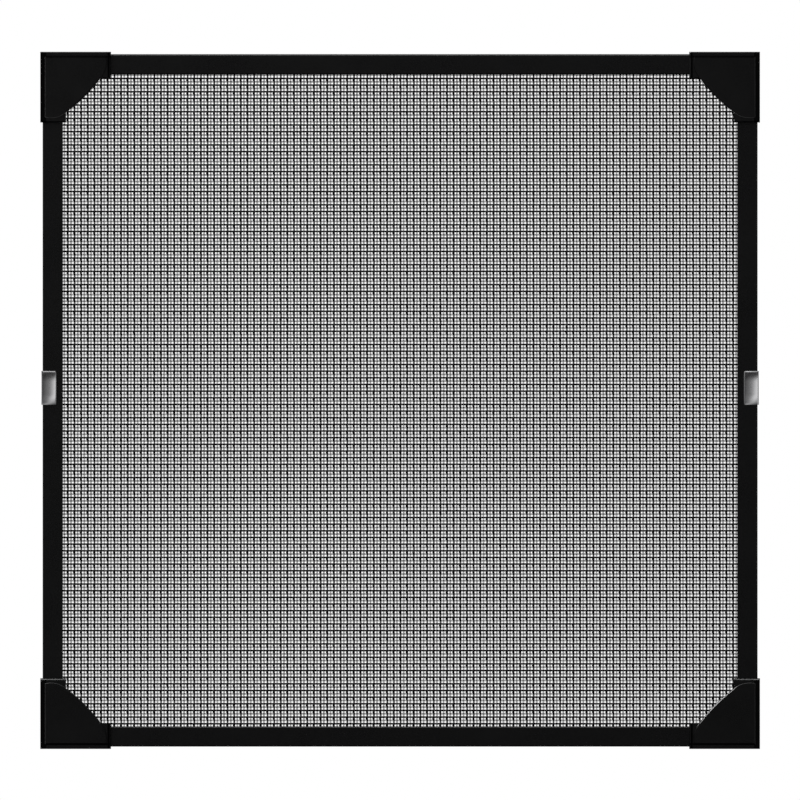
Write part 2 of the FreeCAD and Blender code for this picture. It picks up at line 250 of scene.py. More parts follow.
class FinishColours(bpy.types.PropertyGroup):
    """Colours of the finishes."""

    coat: FloatVectorProperty(
        name="Powder coat", description="Colour of the rails",
        subtype="COLOR", default=(0.0025, 0.0025, 0.0026), min=0, max=1)
    field: FloatVectorProperty(
        name="Bracket field", description="Colour of the brackets' raised fields",
        subtype="COLOR", default=(0.0025, 0.0025, 0.0026), min=0, max=1)
    # The border's darker colour is painted shade
    border: FloatVectorProperty(
        name="Bracket border", description="Colour of the brackets' smooth borders",
        subtype="COLOR", default=(0.0004, 0.0004, 0.0004), min=0, max=1)
    # A painted highlight: the pale colour painted on the raised fields' edges along the sides
    field_edge_highlight: FloatVectorProperty(
        name="Field edge", description="Colour of the raised fields' rubbed edges",
        subtype="COLOR", default=(0.055, 0.055, 0.055), min=0, max=1)
    strand: FloatVectorProperty(
        name="Strand", description="Colour of the mesh's coated strands",
        subtype="COLOR", default=(0.004, 0.004, 0.004), min=0, max=1)
    # A painted highlight on the upright strands just above each crossing
    strand_highlight: FloatVectorProperty(
        name="Strand band", description="How much paler an upright strand is above each crossing",
        subtype="COLOR", default=(0.08, 0.08, 0.08), min=0, max=1)
    cord: FloatVectorProperty(
        name="Cord", description="Colour of the cord's rubber",
        subtype="COLOR", default=(0.016, 0.016, 0.017), min=0, max=1)
    steel: FloatVectorProperty(
        name="Steel", description="Colour of the clips' steel",
        subtype="COLOR", default=(0.66, 0.66, 0.67), min=0, max=1)
    floor: FloatVectorProperty(
        name="Floor", description="Colour of the floor",
        subtype="COLOR", default=(0.8, 0.8, 0.8), min=0, max=1)


class StageSizes(bpy.types.PropertyGroup):
    """Camera, floor and lamps."""

    view_size: FloatProperty(
        name="View size", description="Width and height of what the camera sees",
        default=750.9 * MM, min=0.01, unit="LENGTH", precision=4)
    view_across: FloatProperty(
        name="View across", description="How far the view's middle lies to the right of the screen's",
        default=-0.1 * MM, unit="LENGTH", precision=5)
    view_up: FloatProperty(
        name="View up", description="How far the view's middle lies above the screen's",
        default=0.36 * MM, unit="LENGTH", precision=5)
    floor_size: FloatProperty(
        name="Floor size", description="Side of the square floor",
        default=14.0, min=1, unit="LENGTH")
    top_power: FloatProperty(
        name="Top lamp", description="Power of the lamp above", default=18.0, min=0)
    left_power: FloatProperty(
        name="Left lamp", description="Power of the lamp on the left", default=14.0, min=0)
    front_power: FloatProperty(
        name="Front lamp", description="Power of the lamp by the camera", default=38.0, min=0)
    rim_above: FloatProperty(
        name="Rim lamp above", description="Power of the lamp above that only shines on the rims",
        default=50.0, min=0)
    rim_left: FloatProperty(
        name="Rim lamp left", description="Power of the upper left lamp that only shines on the rims",
        default=170.0, min=0)
    room: FloatProperty(
        name="Room light", description="Strength of the light from all round", default=0.4, min=0)


# Nodes


def node(tree, kind, inputs=None, **options):
    """A new node with its options set. An input takes a plain value or another node's socket."""
    made = tree.nodes.new(kind)
    for name, choice in options.items():
        setattr(made, name, choice)
    for name, source in (inputs or {}).items():
        if isinstance(source, bpy.types.NodeSocket):
            tree.links.new(source, made.inputs[name])
        else:
            made.inputs[name].default_value = source
    return made


def math_node(tree, operation, first, second=0.0):
    """The result of one operation on two values or sockets."""
    return node(tree, "ShaderNodeMath", {0: first, 1: second}, operation=operation).outputs[0]


def blend(tree, share, first, second):
    """A colour between two, by a share from 0 to 1."""
    mixed = node(tree, "ShaderNodeMix", {0: share, 6: first, 7: second}, data_type="RGBA")
    return mixed.outputs[2]


def ramp(tree, value, start, end, first=0.0, last=1.0, shape="LINEAR"):
    """Goes from first to last as a value goes from start to end, and stays there beyond."""
    return node(tree, "ShaderNodeMapRange", {
        "Value": value, "From Min": start, "From Max": end, "To Min": first, "To Max": last},
        interpolation_type=shape).outputs[0]


def fade(tree, value, start, end, first=0.0, last=1.0):
    """A ramp with soft ends."""
    return ramp(tree, value, start, end, first, last, "SMOOTHSTEP")


def new_group(name, kind, sockets_in, sockets_out):
    """An empty node group with named sockets, and its two end nodes. A socket is (name, type)
    or (name, type, default)."""
    tree = bpy.data.node_groups.new(name, kind)
    for direction, sockets in (("INPUT", sockets_in), ("OUTPUT", sockets_out)):
        for socket in sockets:
            made = tree.interface.new_socket(
                socket[0], in_out=direction, socket_type="NodeSocket" + socket[1])
            if len(socket) > 2:
                made.default_value = socket[2]
    return tree, tree.nodes.new("NodeGroupInput"), tree.nodes.new("NodeGroupOutput")


def surface_grain():
    """Shader group: an even grain that varies a colour and a roughness and gives a height."""
    name = "Surface Grain"
    if name in bpy.data.node_groups:
        return bpy.data.node_groups[name]
    tree, start, end = new_group(
        name, "ShaderNodeTree",
        [("Vector", "Vector"), ("Colour", "Color"), ("Contrast", "Float", 0.15),
         ("Patch Scale", "Float", 40.0), ("Grain Scale", "Float", 900.0),
         ("Low Roughness", "Float", 0.4), ("High Roughness", "Float", 0.5)],
        [("Colour", "Color"), ("Roughness", "Float"), ("Height", "Float")])
    given = start.outputs
    patches = node(tree, "ShaderNodeTexNoise", {
        "Vector": given["Vector"], "Scale": given["Patch Scale"], "Detail": 3.0})
    grain = node(tree, "ShaderNodeTexNoise", {
        "Vector": given["Vector"], "Scale": given["Grain Scale"], "Detail": 2.0})
    mixed = math_node(tree, "ADD", patches.outputs[0], grain.outputs[0])
    put_out_grain(tree, given, end, mixed, (0.7, 1.3), grain.outputs[0])
    return tree


def put_out_grain(tree, given, end, pattern, span, height):
    """Ends a grain group: the pattern's span varies the colour by the contrast, and the roughness
    from low to high."""
    low = math_node(tree, "SUBTRACT", 1.0, given["Contrast"])
    high = math_node(tree, "ADD", 1.0, given["Contrast"])
    tone = ramp(tree, pattern, *span, low, high)
    colour = node(tree, "ShaderNodeVectorMath", {0: given["Colour"], "Scale": tone}, operation="SCALE")
    rough = ramp(tree, pattern, *span, given["Low Roughness"], given["High Roughness"])
    tree.links.new(colour.outputs[0], end.inputs["Colour"])
    tree.links.new(rough, end.inputs["Roughness"])
    tree.links.new(height, end.inputs["Height"])


def drawn_grain():
    """Shader group: fine lines along one direction, as drawn or brushed stuff has."""
    name = "Drawn Grain"
    if name in bpy.data.node_groups:
        return bpy.data.node_groups[name]
    tree, start, end = new_group(
        name, "ShaderNodeTree",
        [("Vector", "Vector"), ("Colour", "Color"), ("Contrast", "Float", 0.15),
         ("Lines", "Vector", (1.0, 1.0, 0.05)), ("Scale", "Float", 3000.0),
         ("Low Roughness", "Float", 0.4), ("High Roughness", "Float", 0.5)],
        [("Colour", "Color"), ("Roughness", "Float"), ("Height", "Float")])
    given = start.outputs
    stretched = node(tree, "ShaderNodeVectorMath", {
        0: given["Vector"], 1: given["Lines"]}, operation="MULTIPLY")
    lines = node(tree, "ShaderNodeTexNoise", {
        "Vector": stretched.outputs[0], "Scale": given["Scale"], "Detail": 2.0})
    put_out_grain(tree, given, end, lines.outputs[0], (0.3, 0.7), lines.outputs[0])
    return tree


# Finishes


def new_finish(name, specular, metallic=0.0):
    """An empty material with its shader, and the Object coordinates."""
    material = bpy.data.materials.new(name)
    material.use_nodes = True
    tree = material.node_tree
    shader = tree.nodes["Principled BSDF"]
    shader.inputs["Specular IOR Level"].default_value = specular
    shader.inputs["Metallic"].default_value = metallic
    place = node(tree, "ShaderNodeTexCoord").outputs["Object"]
    return material, tree, shader, place


def wear_grain(tree, shader, group, values, distance, strength=0.4):
    """Gives a shader the colour, roughness and height of a grain group. Returns the bump node."""
    grain = node(tree, "ShaderNodeGroup", values, node_tree=group)
    bump = node(tree, "ShaderNodeBump", {
        "Height": grain.outputs["Height"], "Distance": distance, "Strength": strength})
    tree.links.new(grain.outputs["Colour"], shader.inputs["Base Color"])
    tree.links.new(grain.outputs["Roughness"], shader.inputs["Roughness"])
    tree.links.new(bump.outputs[0], shader.inputs["Normal"])
    return bump


def colour_of(name):
    """One of the finishes' colours, with its alpha."""
    return (*getattr(bpy.context.scene.screen_finish, name), 1.0)


def powder_coat():
    """Satin black powder coat with a fine orange-peel surface."""
    material, tree, shader, place = new_finish("powder_coat", specular=0.12)
    wear_grain(tree, shader, surface_grain(), {
        "Vector": place, "Colour": colour_of("coat"), "Contrast": 0.18, "Patch Scale": 18.0,
        "Grain Scale": 850.0, "Low Roughness": 0.26, "High Roughness": 0.33}, 0.03 * MM)
    return material


def bracket_edge(tree, aside, above, sizes):
    """How high a bracket's front is, from 0 at the leg ends' and the gusset's edges to 1."""
    heights, on_leg = [], []
    for distance, leg_end, reach in (
            (aside, -CORNER_HIGH.x, REACH.x), (above, CORNER_LOW.z - MIDDLE.z, REACH.z)):
        gap = math_node(tree, "SUBTRACT", distance, leg_end)
        heights.append(ramp(tree, gap, 0.0, sizes.leg_edge))
        on_leg.append(math_node(tree, "GREATER_THAN", distance, reach - sizes.leg_width))
    curve_middle = Vector((REACH.x + sizes.gusset_centre, 0.0, REACH.z + sizes.gusset_centre))
    spot = node(tree, "ShaderNodeCombineXYZ", {"X": aside, "Z": above}).outputs[0]
    reach = node(tree, "ShaderNodeVectorMath", {0: spot, 1: curve_middle}, operation="DISTANCE")
    gap = math_node(tree, "SUBTRACT", sizes.gusset_radius, reach.outputs["Value"])
    curved = ramp(tree, gap, 0.0, sizes.gusset_edge)
    for leg in on_leg:
        curved = math_node(tree, "MAXIMUM", curved, leg)
    return math_node(tree, "MULTIPLY", curved, math_node(tree, "MULTIPLY", *heights))


def line_at(tree, distance, spot, width):
    """A line's strength: 1 along its middle, where the distance is at the spot, and 0 beyond half
    its width."""
    gap = math_node(tree, "ABSOLUTE", math_node(tree, "SUBTRACT", distance, spot))
    return ramp(tree, gap, 0.2 * width, 0.5 * width, 1.0, 0.0)


def moulded_plastic():
    """Black moulded plastic, grained, with a smoother border along the sides that painted shade makes
    darker.
    The raised field's edge there carries a painted highlight, and a painted shadow line runs along
    the top, the bottom and the ends of the level legs."""
    material, tree, shader, place = new_finish("moulded_plastic", specular=0.12)
    sizes = bpy.context.scene.screen_bracket
    axes = node(tree, "ShaderNodeSeparateXYZ", {0: place}).outputs
    aside, above = (
        math_node(tree, "ABSOLUTE", math_node(tree, "SUBTRACT", axes[axis], MIDDLE[axis]))
        for axis in (0, 2))
    depth = math_node(tree, "SUBTRACT", axes["Y"], CORNER_LOW.y)
    field_top, field_foot, front_foot = 0.15 * MM, 0.5 * MM, 0.9 * MM
    # The raised field, its edge, what is nearer to a side than to the top or bottom, the outer sides
    raised = ramp(tree, depth, field_top, field_foot, 1.0, 0.0)
    lowered = math_node(tree, "SUBTRACT", 1.0, raised)
    edge = math_node(tree, "MULTIPLY", math_node(tree, "MULTIPLY", raised, 4.0), lowered)
    by_side = math_node(tree, "GREATER_THAN", math_node(tree, "SUBTRACT", aside, above),
                        REACH.x - REACH.z)
    outer = math_node(tree, "GREATER_THAN", aside, REACH.x - sizes.side_border)
    grained = math_node(tree, "MAXIMUM", raised, math_node(tree, "SUBTRACT", 1.0, outer))
    # Painted shade: the border along the outer sides gets a darker colour than the field
    colour = blend(tree, grained, colour_of("border"), colour_of("field"))
    # Painted highlight: the field's edge along the sides is painted pale
    highlighted = blend(tree, math_node(tree, "MULTIPLY", edge, by_side), colour, colour_of("field_edge_highlight"))
    bump = wear_grain(tree, shader, surface_grain(), {
        "Vector": place, "Colour": highlighted, "Contrast": 0.2, "Patch Scale": 30.0,
        "Grain Scale": 1400.0, "Low Roughness": ramp(tree, grained, 0.0, 1.0, 0.18, 0.26),
        "High Roughness": ramp(tree, grained, 0.0, 1.0, 0.24, 0.33)}, 0.04 * MM)
    height = bracket_edge(tree, aside, above, sizes)
    slope = node(tree, "ShaderNodeBump", {
        "Height": height, "Distance": sizes.edge_depth, "Strength": 1.0})
    tree.links.new(slope.outputs[0], bump.inputs["Normal"])
    # Painted shade and painted shadow: the smooth border and the dark lines, only on the front, take
    # their shine off as a black metal, which darkens them
    border_shade_share = 0.45
    level = math_node(tree, "GREATER_THAN", height, 0.99)
    in_front = math_node(tree, "LESS_THAN", depth, front_foot)
    border = math_node(tree, "MULTIPLY", level, math_node(tree, "MULTIPLY", in_front, lowered))
    side_border = math_node(
        tree, "MULTIPLY", math_node(tree, "MULTIPLY", border, outer), border_shade_share)
    # Painted shadow lines along the top, the bottom and the level legs' ends
    line = math_node(
        tree, "MAXIMUM", line_at(tree, above, REACH.z - sizes.level_line, sizes.line_width),
        line_at(tree, aside, sizes.end_line - CORNER_HIGH.x, sizes.line_width))
    not_by_side = math_node(tree, "MULTIPLY", in_front, math_node(tree, "SUBTRACT", 1.0, by_side))
    painted_shadow_line = math_node(tree, "MULTIPLY", math_node(tree, "MAXIMUM", line, edge), not_by_side)
    tree.links.new(math_node(tree, "MAXIMUM", side_border, painted_shadow_line), shader.inputs["Metallic"])
    return material


def drawn_finish(name, colour, lines, scale, rough, contrast, specular, distance, metallic=0.0):
    """A finish with fine lines along the axis on which lines is small."""
    material, tree, shader, place = new_finish(name, specular, metallic)
    wear_grain(tree, shader, drawn_grain(), {
        "Vector": place, "Colour": colour_of(colour), "Contrast": contrast, "Lines": lines,
        "Scale": scale, "Low Roughness": rough[0], "High Roughness": rough[1]}, distance)
    return material


def strand_coat(name, lines):
    """Black coated glass-fibre strand, with the fibres' lines along it."""
    return drawn_finish(name, "strand", lines, scale=4000.0, rough=(0.6, 0.8), contrast=0.3,
                        specular=0.02, distance=0.03 * MM)


def banded_coat(name, lines, sizes):
    """The upright strands' coat, with a painted highlight just above each heavy level strand."""
    material = strand_coat(name, lines)
    tree = material.node_tree
    base = tree.nodes["Principled BSDF"].inputs["Base Color"]
    place = node(tree, "ShaderNodeTexCoord").outputs["Object"]
    height = node(tree, "ShaderNodeSeparateXYZ", {0: place}).outputs["Z"]
    # Painted highlight: a pale band painted just above each heavy level strand
    crossing = PANEL_MIDDLE.z + sizes.shift_up + sizes.pitch / 2
    turns = math_node(tree, "DIVIDE", math_node(tree, "SUBTRACT", height, crossing), sizes.pitch)
    wave = math_node(tree, "SINE", math_node(tree, "MULTIPLY", turns, math.tau))
    highlight = math_node(tree, "MULTIPLY", wave, math_node(tree, "MAXIMUM", wave, 0.0))
    pale = node(tree, "ShaderNodeVectorMath", {
        0: colour_of("strand_highlight")[:3], "Scale": highlight}, operation="SCALE")
    both = node(tree, "ShaderNodeVectorMath", {
        0: base.links[0].from_socket, 1: pale.outputs[0]}, operation="ADD")
    tree.links.new(both.outputs[0], base)
    return material


def cord_rubber(name, lines):
    """Dull black rubber, with fine lines along the cord."""
    return drawn_finish(name, "cord", lines, scale=1500.0, rough=(0.6, 0.8), contrast=0.25,
                        specular=0.3, distance=0.05 * MM)


def spring_steel():
    """Bright spring steel, brushed across the rail."""
    return drawn_finish("spring_steel", "steel", (0.06, 1.0, 1.0), scale=2600.0, rough=(0.16, 0.2),
                        contrast=0.05, specular=0.5, distance=0.0005 * MM, metallic=1.0)


def woven_hem():
    """The mesh folded into the groove: fine threads both ways."""
    material, tree, shader, place = new_finish("woven_hem", specular=0.3)
    spots = node(tree, "ShaderNodeSeparateXYZ", {0: place})
    thread_spacing = 1.2 * MM
    waves = [math_node(tree, "SINE", math_node(
        tree, "MULTIPLY", spots.outputs[axis], math.tau / thread_spacing)) for axis in ("X", "Z")]
    weave = math_node(tree, "MULTIPLY", *waves)
    bump = wear_grain(tree, shader, surface_grain(), {
        "Vector": place, "Colour": colour_of("strand"), "Contrast": 0.3, "Patch Scale": 60.0,
        "Grain Scale": 2500.0, "Low Roughness": 0.55, "High Roughness": 0.75}, 0.1 * MM)
    height = bump.inputs["Height"]
    tree.links.new(math_node(tree, "ADD", weave, height.links[0].from_socket), height)
    return material


def floor_finish():
    """Pale, even studio floor."""
    material, tree, shader, place = new_finish("studio_floor", specular=0.2)
    wear_grain(tree, shader, surface_grain(), {
        "Vector": place, "Colour": colour_of("floor"), "Contrast": 0.015, "Patch Scale": 1.5,
        "Grain Scale": 60.0, "Low Roughness": 0.7, "High Roughness": 0.8}, 0.1 * MM, strength=0.1)
    return material


def dress(name, material):
    """Gives a part of the frame its finish."""
    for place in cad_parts[name].material_slots:
        place.material = material


# Pieces


def new_piece(name, mesh):
    """An object for a mesh, in the scene and at the origin."""
    piece = bpy.data.objects.new(name, mesh)
    bpy.context.scene.collection.objects.link(piece)
    return piece


def settle(piece, slot, *nodes):
    """Ties a finished piece to the frame, in place of the plain parts that it stands for."""
    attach(piece, BODY)
    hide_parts(*nodes)


def close_mesh(name, points, faces, sharp):
    """A closed mesh with its faces outwards, smooth except where it turns by more than sharp."""
    mesh = bpy.data.meshes.new(name)
    mesh.from_pydata(points, [], faces)
    work = bmesh.new()
    work.from_mesh(mesh)
    bmesh.ops.remove_doubles(work, verts=work.verts, dist=0.001 * MM)
    bmesh.ops.recalc_face_normals(work, faces=work.faces)
    work.to_mesh(mesh)
    work.free()
    mesh.shade_smooth()
    mesh.set_sharp_from_angle(angle=math.radians(sharp))
    return mesh


def grown(tree, name, values):
    """A plain mesh object grown by a geometry node tree from values for its named inputs."""
    piece = new_piece(name, bpy.data.meshes.new(name))
    modifier = piece.modifiers.new("Grow", "NODES")
    modifier.node_group = tree
    for socket in tree.interface.items_tree:
        if socket.in_out == "INPUT" and socket.name in values:
            modifier[socket.identifier] = values[socket.name]
    shown = piece.evaluated_get(bpy.context.evaluated_depsgraph_get())
    mesh = bpy.data.meshes.new_from_object(shown)
    mesh.name = name
    piece.modifiers.clear()
    piece.data = mesh
    return piece


def strand_tree():
    """Geometry nodes: a row of like strands that swing forwards and back at each crossing."""
    tree, start, end = new_group(
        "Woven Strands", "GeometryNodeTree",
        [("Corners", "Int", 4), ("Width", "Float"), ("Bulge", "Float"), ("Bulge Shift", "Float"),
         ("Thickness", "Float"), ("Pitch", "Float"), ("Rings", "Int", 2), ("Ring Step", "Float"),
         ("First Ring", "Int"), ("Last Ring", "Int"), ("Low End", "Float"),
         ("High End", "Float"), ("Weave Depth", "Float"), ("Count", "Int"),
         ("First Strand", "Vector"), ("Step", "Vector"), ("Turn", "Vector"), ("Sway", "Vector"),
         ("Seed", "Int"), ("Finish", "Material")],
        [("Geometry", "Geometry")])
    given = start.outputs
    steps = math_node(tree, "SUBTRACT", given["Last Ring"], given["First Ring"])
    strand = node(tree, "GeometryNodeMeshCylinder", {
        "Vertices": given["Corners"], "Side Segments": steps, "Radius": 0.5,
        "Depth": steps}, fill_type="NGON")
    turned = node(tree, "GeometryNodeTransform", {
        "Geometry": strand.outputs["Mesh"], "Rotation": (0.0, 0.0, math.radians(-90))})
    here = node(tree, "GeometryNodeInputPosition").outputs[0]
    spot = node(tree, "ShaderNodeSeparateXYZ", {0: here})
    middle = math_node(
        tree, "DIVIDE", math_node(tree, "ADD", given["First Ring"], given["Last Ring"]), 2.0)
    ring = math_node(tree, "ROUND", math_node(tree, "ADD", spot.outputs["Z"], middle))
    cell = math_node(tree, "FLOOR", math_node(
        tree, "DIVIDE", math_node(tree, "ADD", ring, 0.5), given["Rings"]))
    within = math_node(tree, "SUBTRACT", ring, math_node(tree, "MULTIPLY", cell, given["Rings"]))
    phase = math_node(tree, "MULTIPLY", within, given["Ring Step"])
    along = math_node(tree, "MULTIPLY", math_node(tree, "ADD", cell, phase), given["Pitch"])
    swing = math_node(tree, "COSINE", math_node(tree, "MULTIPLY", phase, math.tau))
    # 1 on the rings a quarter of a pitch up from where each cell starts
    bulging = node(tree, "ShaderNodeMath", {0: phase, 1: 0.25, 2: 0.01},
                   operation="COMPARE").outputs[0]
    width = math_node(
        tree, "ADD", given["Width"], math_node(tree, "MULTIPLY", bulging, given["Bulge"]))
    across = math_node(
        tree, "SUBTRACT", math_node(tree, "MULTIPLY", spot.outputs["X"], width),
        math_node(tree, "MULTIPLY", bulging, given["Bulge Shift"]))
    through = math_node(tree, "ADD", math_node(tree, "MULTIPLY", spot.outputs["Y"], given["Thickness"]),
                        math_node(tree, "MULTIPLY", swing, given["Weave Depth"]))
    reach = node(tree, "ShaderNodeClamp", {
        "Value": along, "Min": given["Low End"], "Max": given["High End"]})
    shaped = node(tree, "GeometryNodeSetPosition", {
        "Geometry": turned.outputs[0],
        "Position": node(tree, "ShaderNodeCombineXYZ", {
            "X": across, "Y": through, "Z": reach.outputs[0]}).outputs[0]})
    row = node(tree, "GeometryNodeMeshLine", {
        "Count": given["Count"], "Start Location": given["First Strand"], "Offset": given["Step"]})
    strands = node(tree, "GeometryNodeInstanceOnPoints", {
        "Points": row.outputs[0], "Instance": shaped.outputs[0], "Rotation": given["Turn"]})
    real = node(tree, "GeometryNodeRealizeInstances", {0: strands.outputs[0]})
    wander = node(tree, "ShaderNodeTexNoise", {
        "Vector": node(tree, "GeometryNodeInputPosition").outputs[0], "W": given["Seed"],
        "Scale": 300.0, "Detail": 1.0}, noise_dimensions="4D")
    aside = node(tree, "ShaderNodeVectorMath", {
        0: given["Sway"], "Scale": math_node(tree, "SUBTRACT", wander.outputs[0], 0.5)},
        operation="SCALE")
    swayed = node(tree, "GeometryNodeSetPosition", {
        "Geometry": real.outputs[0], "Offset": aside.outputs[0]})
    smooth = node(tree, "GeometryNodeSetShadeSmooth", {"Geometry": swayed.outputs[0]})
    painted = node(tree, "GeometryNodeSetMaterial", {
        "Geometry": smooth.outputs[0], "Material": given["Finish"]})
    tree.links.new(painted.outputs[0], end.inputs[0])
    return tree


def cord_tree():
    """Geometry nodes: a straight ribbed cord whose ribs turn slowly to and fro."""
    tree, start, end = new_group(
        "Ribbed Cord", "GeometryNodeTree",
        [("Start", "Vector"), ("End", "Vector"), ("Rings", "Int", 60), ("Ribs", "Int", 12),
         ("Radius", "Float"), ("Rib Depth", "Float"), ("Twist", "Float"), ("Seed", "Int"),
         ("Finish", "Material")],
        [("Geometry", "Geometry")])
    given = start.outputs
    line = node(tree, "GeometryNodeCurvePrimitiveLine", {
        "Start": given["Start"], "End": given["End"]})
    rings = node(tree, "GeometryNodeResampleCurve", {
        "Curve": line.outputs[0], "Count": given["Rings"]})
    turns = node(tree, "ShaderNodeTexNoise", {
        "Vector": node(tree, "GeometryNodeInputPosition").outputs[0], "W": given["Seed"],
        "Scale": 12.0, "Detail": 0.0}, noise_dimensions="4D")
    tilt = math_node(tree, "MULTIPLY", turns.outputs[0], given["Twist"])
    twisted = node(tree, "GeometryNodeSetCurveTilt", {"Curve": rings.outputs[0], "Tilt": tilt})
    inner = math_node(tree, "SUBTRACT", given["Radius"], given["Rib Depth"])
    star = node(tree, "GeometryNodeCurveStar", {
        "Points": given["Ribs"], "Inner Radius": inner, "Outer Radius": given["Radius"]})
    solid = node(tree, "GeometryNodeCurveToMesh", {
        "Curve": twisted.outputs[0], "Profile Curve": star.outputs[0], "Fill Caps": True})
    real = node(tree, "GeometryNodeRealizeInstances", {0: solid.outputs[0]})
    painted = node(tree, "GeometryNodeSetMaterial", {
        "Geometry": real.outputs[0], "Material": given["Finish"]})
    tree.links.new(painted.outputs[0], end.inputs[0])
    return tree


class SCREEN_OT_stage(bpy.types.Operator):
    """Sets the camera, the floor, the lamps and the room's light"""

    bl_idname = "window_screen.stage"
    bl_label = "Stage"

    def execute(self, context):
        sizes = context.scene.screen_stage
        add_camera(context, sizes)
        add_floor(sizes)
        target = Vector((0.0, 0.0, CAD_BOX[1].z / 2))
        # Each lamp's name, place, side, power and kind of light
        lamps = (
            ("top_lamp", Vector((0.0, -0.9, 2.2)), 1.6, sizes.top_power, "diffuse"),
            ("left_lamp", Vector((-2.2, -0.9, 0.7)), 1.4, sizes.left_power, "diffuse"),
            ("front_lamp", Vector((-0.8, -3.2, 1.6)), 2.0, sizes.front_power, "diffuse"),
            ("rim_lamp_above", Vector((0.0, -1.1, 2.2)), 0.8, sizes.rim_above, "glossy"),
            ("rim_lamp_left", Vector((-1.4, -0.35, 1.8)), 0.8, sizes.rim_left, "glossy"),
        )
        for name, place, side, power, kind in lamps:
            add_lamp(name, place, target, side, power, kind)
        add_room(context, sizes.room)
        context.scene.view_settings.view_transform = "Standard"
        return {"FINISHED"}


def add_camera(context, sizes):
    """A level camera without perspective, square in front of the screen."""
    data = bpy.data.cameras.new("camera")
    data.type = "ORTHO"
    data.ortho_scale = sizes.view_size
    camera = bpy.data.objects.new("camera", data)
    distance = 2.0
    camera.location = (sizes.view_across, -distance, MIDDLE.z + sizes.view_up)
    camera.rotation_euler = (math.radians(90), 0.0, 0.0)
    context.scene.collection.objects.link(camera)
    context.scene.camera = camera


def add_floor(sizes):
    """A square floor that the screen stands on, unseen in reflections."""
    half = sizes.floor_size / 2
    mesh = bpy.data.meshes.new("floor")
    mesh.from_pydata(
        [(-half, -half, 0.0), (half, -half, 0.0), (half, half, 0.0), (-half, half, 0.0)],
        [], [(0, 1, 2, 3)])
    mesh.materials.append(floor_finish())
    floor = new_piece("floor", mesh)
    floor.visible_glossy = False


def add_lamp(name, place, target, side, power, kind):
    """A square lamp that faces a target. Its light is diffuse, or glossy for the rims alone."""
    data = bpy.data.lights.new(name, "AREA")
    data.shape = "SQUARE"
    data.size = side
    data.energy = power
    lamp = bpy.data.objects.new(name, data)
    lamp.visible_glossy = kind == "glossy"
    lamp.visible_diffuse = kind == "diffuse"
    lamp.location = place
    lamp.rotation_euler = (target - place).to_track_quat("-Z", "Y").to_euler()
    bpy.context.scene.collection.objects.link(lamp)


def add_room(context, strength):
    """White behind the screen. What shines back from the front is dark at the upper left and
    bright at the lower right, darkens to the sides and is paler overhead."""
    world = bpy.data.worlds.new("room")
    world.use_nodes = True
    context.scene.world = world
    tree = world.node_tree
    background = tree.nodes["Background"]
    ray = node(tree, "ShaderNodeLightPath").outputs
    way = node(tree, "ShaderNodeTexCoord").outputs["Generated"]
    axes = node(tree, "ShaderNodeSeparateXYZ", {0: way}).outputs
    down_right = (0.75, 0.0, -1.2)
    slope = node(tree, "ShaderNodeVectorMath", {0: way, 1: down_right}, operation="DOT_PRODUCT")
    wall = node(tree, "ShaderNodeValToRGB", {"Fac": ramp(tree, slope.outputs["Value"], -0.6, 1.0)})
    shades = wall.color_ramp.elements
    for place, shade in FRONT_WALL[1:-1]:
        shades.new(place).color = (shade, shade, shade, 1.0)
    for number in (0, -1):
        shade = FRONT_WALL[number][1]
        shades[number].color = (shade, shade, shade, 1.0)
    # Where a reflection points: at the front wall, its brow or its foot, overhead, aside or behind
    ahead = fade(tree, axes["Y"], -0.55, -0.82)
    brow = fade(tree, axes["Z"], 0.06, 0.2, 1.0, 0.08)
    foot = fade(tree, axes["Z"], -0.1, -0.28, 1.0, 0.45)
    above = fade(tree, axes["Z"], 0.42, 0.52, 0.0, 0.5)
    beside = fade(tree, math_node(tree, "ABSOLUTE", axes["X"]), 0.62, 0.72, 0.0, 0.17)
    behind = fade(tree, axes["Y"], 0.2, 0.6)
    mirrored = wall.outputs[0]
    for part in (ahead, brow, foot):
        mirrored = math_node(tree, "MULTIPLY", mirrored, part)
    for part in (above, beside, behind):
        mirrored = math_node(tree, "MAXIMUM", mirrored, part)
    lit = node(tree, "ShaderNodeMix", {0: ray["Is Glossy Ray"], 2: strength, 3: mirrored})
    seen = math_node(tree, "MAXIMUM", ray["Is Camera Ray"], ray["Is Transmission Ray"])
    level = node(tree, "ShaderNodeMix", {0: seen, 2: lit.outputs[0], 3: 1.0})
    background.inputs["Color"].default_value = (1.0, 1.0, 1.0, 1.0)
    tree.links.new(level.outputs[0], background.inputs["Strength"])


class SCREEN_OT_rails(bpy.types.Operator):
    """Powder-coats the four rails"""

    bl_idname = "window_screen.rails"
    bl_label = "Rails"

    def execute(self, context):
        coat = powder_coat()
        for side in SIDES:
            dress(side + "_rail", coat)
        return {"FINISHED"}


class SCREEN_OT_corners(bpy.types.Operator):
    """Gives the four corner brackets their moulded finish"""

    bl_idname = "window_screen.corners"
    bl_label = "Corner brackets"

    def execute(self, context):
        plastic = moulded_plastic()
        for corner in CORNERS:
            dress(corner + "_corner", plastic)
        return {"FINISHED"}


